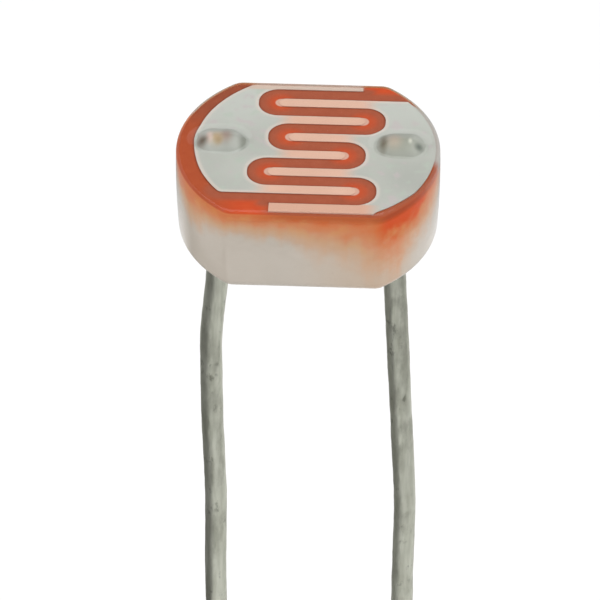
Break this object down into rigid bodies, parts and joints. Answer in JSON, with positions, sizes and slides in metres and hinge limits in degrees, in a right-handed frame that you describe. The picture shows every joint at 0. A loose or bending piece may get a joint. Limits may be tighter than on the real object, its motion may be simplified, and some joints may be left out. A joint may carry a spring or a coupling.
{
  "type": "photoresistor",
  "caption": "Resin-coated disc photoresistor: two-flat ceramic puck with a serpentine light-sensitive track between comb electrodes, on wire leads.",
  "frame": {"origin": "centre of the ceramic puck's underside, midway between the flats", "axes": "+Z towards the light-sensitive face, +X from the left lead to the right one, front flat facing -Y"},
  "size_m": [0.005, 0.0042, 0.0321],
  "materials": {
    "ceramic": "matt, stained orange below its top edge",
    "film": "matt",
    "electrode": "frosted",
    "lead": "dull tinned",
    "contact": "matt silver paste",
    "resin": "clear, glossy"
  },
  "bodies": {
    "root": {"ceramic_base": "ceramic", "photoconductive_film": "film", "left_electrode": "electrode", "right_electrode": "electrode", "left_lead": "lead", "right_lead": "lead", "left_contact": "contact", "right_contact": "contact", "clear_coat": "resin"}
  },
  "joints": []
}
